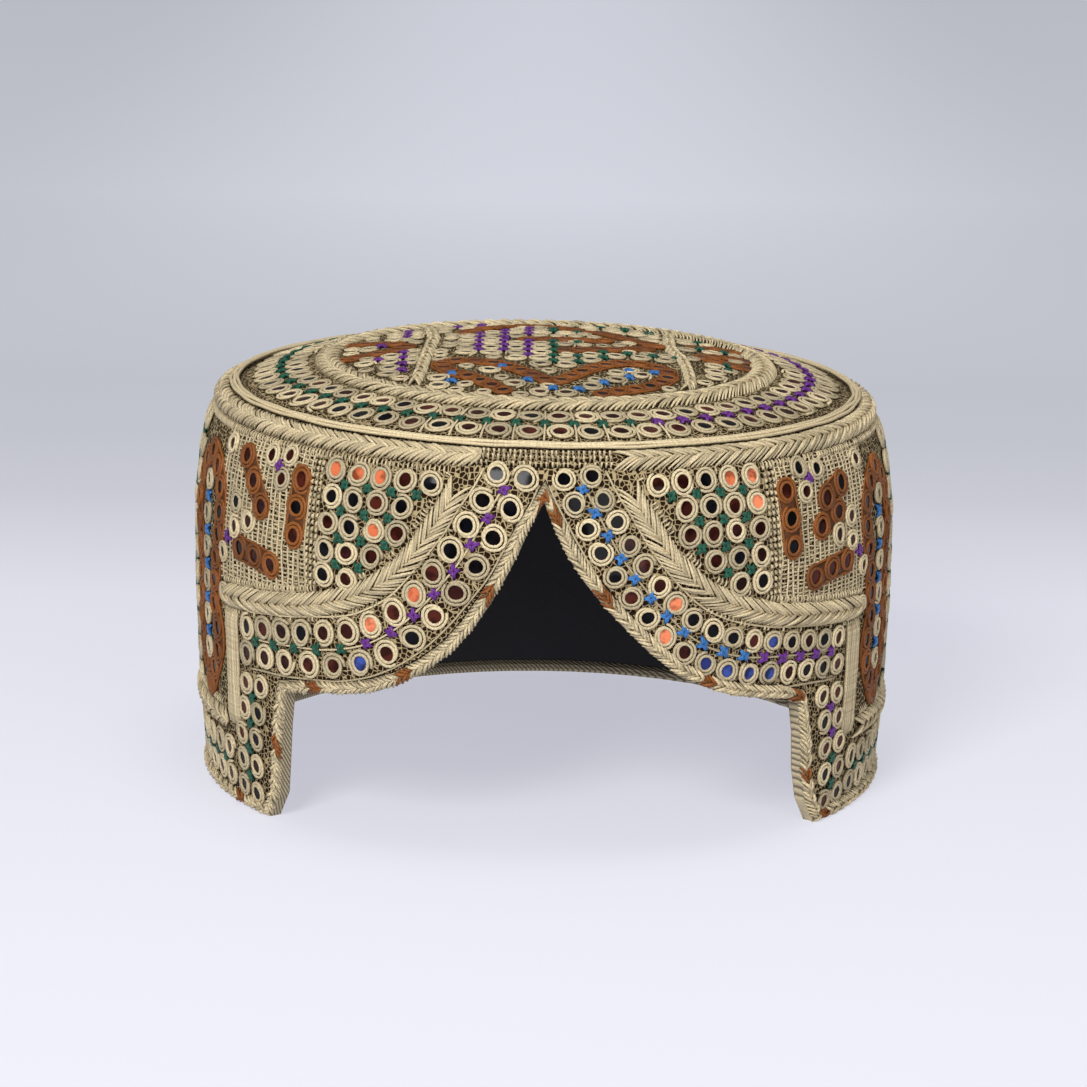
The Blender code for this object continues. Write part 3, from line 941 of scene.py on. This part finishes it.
# The crown's rust shapes, in millimetres to the right and back from its middle
FRONT_HEART = (
    (-10.0, -44.5), (-16.0, -35.5), (-22.5, -28.0), (-25.3, -21.5), (-22.5, -17.5), (-17.0, -18.3),
    (-11.5, -21.3), (-6.5, -26.8), (-2.5, -32.5), (1.8, -37.0), (5.8, -32.5), (10.0, -25.5),
    (14.7, -19.5), (19.4, -16.2), (24.3, -16.2), (28.0, -19.3), (29.6, -24.0), (28.3, -30.5),
    (24.5, -36.5), (19.0, -41.0), (13.5, -45.0),
)
LEFT_LEAF = (
    (-50.0, -8.5), (-44.5, -5.5), (-38.5, -3.0), (-34.0, 1.5), (-38.5, 8.0), (-44.5, 12.0), (-50.0, 12.5),
)
RIGHT_LEAF = ((50.0, -6.0), (44.0, -3.5), (38.5, 0.5), (44.0, 5.0), (50.0, 4.0))
RIGHT_ARC = ((37.0, 14.5), (42.5, 17.0), (48.0, 17.5))
REAR_ARC = ((-20.5, 22.0), (-15.0, 30.5), (-9.0, 38.5), (-1.5, 40.5), (4.0, 34.0), (10.0, 26.0))
MIDDLE_BARS = (
    ((-4.5, 9.0), (2.0, 11.0), (14.5, 11.0)),
    ((4.5, -5.5), (11.0, -2.3), (17.6, -0.5), (24.5, 3.5)),
    ((21.5, 14.5), (28.0, 9.0)),
    ((13.5, 27.0), (19.5, 18.5)),
)
LEFT_DIVIDER = ((-31.0, -38.0), (-29.9, -27.0), (-29.0, -12.0), (-28.4, 1.0), (-27.8, 14.0), (-29.5, 34.0))
RIGHT_DIVIDER = ((33.0, -37.0), (34.6, -31.0), (34.4, -20.0), (33.2, -7.0), (30.8, 7.0), (31.0, 34.0))
# The two rows of rings round the crown: each row's radius, and its rings' radius
CROWN_ROWS = ((68.9, 3.4), (61.2, 3.2))
CROWN_ROW_COUNT = 61
CROWN_RING = 2.85
CROWN_BRAID_RADIUS = 53.6
CROWN_BRAID_WIDTH = 6.2


def lay_crown(field, cream, rust):
    """The crown's pattern: two rows of rings round it, and rust shapes and rings inside its braid"""
    rows = []
    for radius, size in CROWN_ROWS:
        rows.append(lay_row(field, circle_line(radius), CROWN_ROW_COUNT + 1, radius=size, closed=True))
    knots_between(field, *rows, lambda number: "green" if number < 0.55 * CROWN_ROW_COUNT else "purple")
    for number in range(-4, 5):
        angle = 2 * np.pi * number / CROWN_ROW_COUNT
        spoke = Line(np.outer((57.0, 60.0, 66.0, 72.5), (np.sin(angle), -np.cos(angle))))
        lay_cords(cream, field.chart, spoke, 0.5, -0.1, 1, 0.26)
    for shape in (FRONT_HEART, LEFT_LEAF, RIGHT_LEAF, RIGHT_ARC, REAR_ARC, *MIDDLE_BARS):
        lay_rust_band(field, rust, curve(shape, step=1.0), 2.75, 4.9)
    for shape in (LEFT_DIVIDER, RIGHT_DIVIDER):
        divider = curve(shape, step=1.0)
        field.block(divider, 1.4)
        lay_plait(cream, field.chart, divider, 2.8, 0.1, 3.0)
    fill_crown(field)


def crown_colour(x, y):
    """Blue knots by the heart, purple ones to the left and green ones to the right"""
    if abs(x) < 28 and y < -22:
        return "blue"
    return "purple" if x < -3 else "green"


def fill_crown(field):
    """A grid of rings and knots wherever the crown's middle is free, and small rings in what is left"""
    edge = CROWN_BRAID_RADIUS - 0.5 * CROWN_BRAID_WIDTH - CROWN_RING
    pitch = 2 * CROWN_RING + 0.35
    half = 0.5 * pitch
    for y in np.arange(-7.5 * pitch, edge, pitch):
        for x in np.arange(-8.2 * pitch, edge, pitch):
            if math.hypot(x, y) < edge and field.free(x, y, 0.84 * CROWN_RING):
                field.ring(x, y, radius=CROWN_RING)
                if math.hypot(x + half, y + half) < edge:
                    field.knot(x + half, y + half, crown_colour(x, y), math.pi / 4)
    for y in np.arange(-edge, edge, 2.2):
        for x in np.arange(-edge, edge, 2.2):
            if math.hypot(x, y) < edge + 0.8 and field.free(x, y, 1.6):
                field.ring(x, y, radius=2.1)


# Where rust stitches mark the binding, in millimetres along the arch from the left flap's tip
ACCENTS = (18.0, 44.0, 69.5, 98.5, 124.0, 130.0, 152.0, 185.0, 213.5, 235.0)
ACCENT_REACH = 1.9
RIM_ACCENT_PITCH = 61.0
RIM_ACCENT_LENGTH = 4.0


def lay_braids(thread):
    """The plaits of the wall's and the crown's braids, by the names of the plain ones they replace"""
    panels = [curve(PANEL_BRAID, side) for side in (-1, 1)]
    braids = {}
    for name, line, width in (
        ("shoulder_braid", level_line(SHOULDER_UP, 16.5, GIRTH - 16.5), 5.6),
        ("lower_braid", level_line(19.6, 92.9, GIRTH - 92.9), 5.0),
        ("panel_braid_left", panels[0], 5.6),
        ("panel_braid_right", panels[1], 5.6),
    ):
        braids[name] = Batch(f"{name}_plait", thread, "wheat_braid")
        lay_plait(braids[name], wall_chart, line, width, BRAID_TOP, width)
    braids["crown_braid"] = Batch("crown_braid_plait", thread, "wheat_braid")
    ring_line = circle_line(CROWN_BRAID_RADIUS, 6.0)
    lay_plait(braids["crown_braid"], crown_chart, ring_line, CROWN_BRAID_WIDTH, BRAID_TOP, 5.6)
    return braids


def lay_crown_cord(thread):
    """The cord round the crown, whose ends lie over each other at the back"""
    cord = Batch("crown_cord_threads", thread, "gold_cord")
    line = level_line(98.3, -HALF_GIRTH - 4.0, HALF_GIRTH + 4.0)
    lay_cords(cord, wall_chart, line, 2.4, 1.0, 3)
    return cord


def lay_apex_stitches(wall, batch):
    """Three rows of short upright stitches where the shoulder's braid leaves the front open"""
    for offset in (-1.5, 0.0, 1.5):
        line = level_line(SHOULDER_UP + offset, -17.0, 17.0)
        lay_ladder(batch, wall, line, -0.5, 1.0, pitch=1.3, half_width=0.36, high=0.75)


def lay_side_bar(name, thread, side):
    bar = Batch(f"{name}_threads", thread, "gold_cord")
    line = Line([(89.5 * side, up) for up in np.linspace(47.6, 19.5, 12)])
    lay_cords(bar, wall_chart, line, 6.2, 0.3, 8)
    return bar


def lay_binding(batch, accents):
    """The plait round the arch and the rim, with rust strands here and there"""

    def near_accent(distance):
        return np.abs(distance[:, None] - np.array(ACCENTS)).min(axis=1) < ACCENT_REACH

    def rim_accent(distance):
        return (distance % RIM_ACCENT_PITCH) < RIM_ACCENT_LENGTH

    edge = [(-row.left, row.height) for row in reversed(ARCH)]
    edge += [(row.right, row.height) for row in ARCH[1:]]
    arch_line = Line(edge)
    inset = Line(arch_line.place(arch_line.distances, 1.5))
    lay_plait(batch, wall_chart, inset, 3.1, 0.25, 3.0, (accents, near_accent))
    rim = level_line(1.5, 76.5, GIRTH - 76.0)
    lay_plait(batch, wall_chart, rim, 3.1, 0.25, 3.0, (accents, rim_accent))


def finish_cloth(nodes):
    """Materials of the plain nodes that stay"""
    finishes = {
        "wall": net_shade("wall_net", True),
        "crown": net_shade("crown_net", False),
        "lining": lining_shade(),
        "rim_binding": binding_shade(),
    }
    for name, material in finishes.items():
        nodes[name].data.materials.clear()
        nodes[name].data.materials.append(material)


def dress():
    """Lays all of the thread and glass on the cap"""
    cream = thread_shade("cream_thread", CREAM)
    rust = thread_shade("rust_thread", RUST)
    knots = {
        name: Batch(f"{name}_knots", thread_shade(f"{name}_thread", colour, 0.38))
        for name, colour in COLOURS.items()
    }
    mirrors = {
        kind: Batch(f"{kind}_mirrors", glass_shade(f"{kind}_mirror", tones))
        for kind, tones in PAINTED_MIRROR_REFLECTIONS.items()
    }
    # Painted shade: the ground between rust rings is the rust thread darkened
    shaded_rust_ground = thread_shade("shaded_rust_ground", scaled(RUST, 0.45))

    wall_stitches = Batch("wall_stitches", cream)
    wall_rust = Rust(Batch("wall_rust_edges", rust), Batch("wall_rust_grounds", shaded_rust_ground))
    wall = Field(wall_chart)
    lay_wall(wall, wall_stitches, wall_rust)

    crown_stitches = Batch("crown_stitches", cream)
    crown_rust = Rust(Batch("crown_rust_edges", rust), Batch("crown_rust_grounds", shaded_rust_ground))
    crown = Field(crown_chart)
    lay_crown(crown, crown_stitches, crown_rust)

    wall_rings = Batch("wall_rings", cream)
    crown_rings = Batch("crown_rings", cream)
    rust_rings = Batch("rust_rings", rust)
    lay_rings({"cream": wall_rings, "rust": rust_rings}, mirrors, wall, RING_OUT, RING_HEIGHT)
    lay_rings(
        {"cream": crown_rings, "rust": rust_rings}, mirrors, crown, CROWN_RING_OUT, CROWN_RING_HEIGHT
    )
    for field in (wall, crown):
        lay_knots(knots, field)

    stand_ins = lay_braids(cream)
    stand_ins["crown_cord"] = lay_crown_cord(cream)
    lay_apex_stitches(wall, stand_ins["shoulder_braid"])
    for name, side in (("side_bar_left", -1), ("side_bar_right", 1)):
        stand_ins[name] = lay_side_bar(name, cream, side)
    binding = Batch("binding_plait", cream, "wheat_braid")
    accents = Batch("binding_accents", rust, "wheat_braid")
    lay_binding(binding, accents)

    for batch in (
        wall_stitches, crown_stitches, *wall_rust, *crown_rust, wall_rings, crown_rings, rust_rings,
        binding, accents, *mirrors.values(), *knots.values(),
    ):
        batch.build()
    for name, batch in stand_ins.items():
        batch.build([name])


def add_object(name, data):
    thing = bpy.data.objects.new(name, data)
    bpy.context.scene.collection.objects.link(thing)
    return thing


def set_camera():
    camera = bpy.data.cameras.new("camera")
    camera.sensor_width = 36.0
    camera.lens = 133.7
    camera.clip_start = 0.05
    holder = add_object("camera", camera)
    elevation = math.radians(13.0)
    distance = 1.0
    look_at = Vector((0.0, CENTRE_SHIFT * MM, 0.0547))
    place = look_at + Vector((0.0, -math.cos(elevation), math.sin(elevation))) * distance
    tilt = Matrix.Rotation(math.pi / 2 - elevation, 4, "X")
    roll = Matrix.Rotation(math.radians(0.7), 4, "Z")
    holder.matrix_world = Matrix.Translation(place) @ tilt @ roll
    bpy.context.scene.camera = holder


def add_floor():
    """A pale table top that glows, which is painted light; its far part turns a little darker, as the
    photograph's backdrop does, and dims towards the sides: painted shade
    """
    mesh = bpy.data.meshes.new("floor")
    size = 6.0
    corners = [(-size, -size, 0.0), (size, -size, 0.0), (size, size, 0.0), (-size, size, 0.0)]
    mesh.from_pydata(corners, [], [(0, 1, 2, 3)])
    floor = add_object("floor", mesh)

    def build(nodes, links, shader):
        parts = nodes.new("ShaderNodeSeparateXYZ")
        links.new(position(nodes), parts.inputs["Vector"])
        depth = nodes.new("ShaderNodeMapRange")
        depth.inputs["From Min"].default_value = -0.2
        depth.inputs["From Max"].default_value = 1.2
        links.new(parts.outputs["Y"], depth.inputs["Value"])
        # Painted light and shade: the glow's tones, bright near the cap, with a painted band of shade
        # further back
        tones = [
            (0.04, (0.75, 0.75, 0.85)),
            (0.26, (0.68, 0.69, 0.79)),
            (0.36, (0.50, 0.51, 0.59)),
            (0.43, (0.455, 0.475, 0.545)),
            (0.50, (0.46, 0.48, 0.55)),
            (0.85, (0.71, 0.74, 0.83)),
        ]
        links.new(ramp(nodes, links, depth.outputs["Result"], tones), shader.inputs["Emission Color"])
        # Painted shade: the glow dims towards the sides of the far part, which leaves a painted pool of
        # light in the middle
        aside = joined(nodes, links, "ABSOLUTE", parts.outputs["X"], 0.0)
        edge = faded(nodes, links, aside, 0.0, 0.32)
        edge = joined(nodes, links, "MULTIPLY", edge, faded(nodes, links, parts.outputs["Y"], 0.4, 1.0))
        painted_side_shade = joined(nodes, links, "MULTIPLY", edge, -0.17)
        strength = joined(nodes, links, "ADD", painted_side_shade, 0.72)
        links.new(strength, shader.inputs["Emission Strength"])

    mesh.materials.append(shade("floor", (0.25, 0.25, 0.26), 0.9, build))


def add_light(name, place, size, power):
    light = bpy.data.lights.new(name, "AREA")
    light.size = size
    light.energy = power
    holder = add_object(name, light)
    holder.location = place
    aim = Vector((0.0, 0.0, 0.06)) - Vector(place)
    holder.rotation_euler = aim.to_track_quat("-Z", "Y").to_euler()


def set_lights():
    world = bpy.data.worlds.new("studio")
    world.use_nodes = True
    background = world.node_tree.nodes["Background"]
    background.inputs["Color"].default_value = (0.97, 0.97, 1.0, 1.0)
    background.inputs["Strength"].default_value = 0.24
    bpy.context.scene.world = world
    add_light("key", (-0.45, -1.2, 0.95), 0.5, 21.0)
    add_light("fill", (0.6, -1.3, 0.45), 0.8, 7.0)
    add_light("top", (0.1, -0.1, 1.4), 0.6, 6.0)
    bpy.context.scene.view_settings.view_transform = "Standard"


def main():
    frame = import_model()
    set_camera()
    set_lights()
    add_floor()
    dress()
    finish_cloth(frame["nodes"])


main()
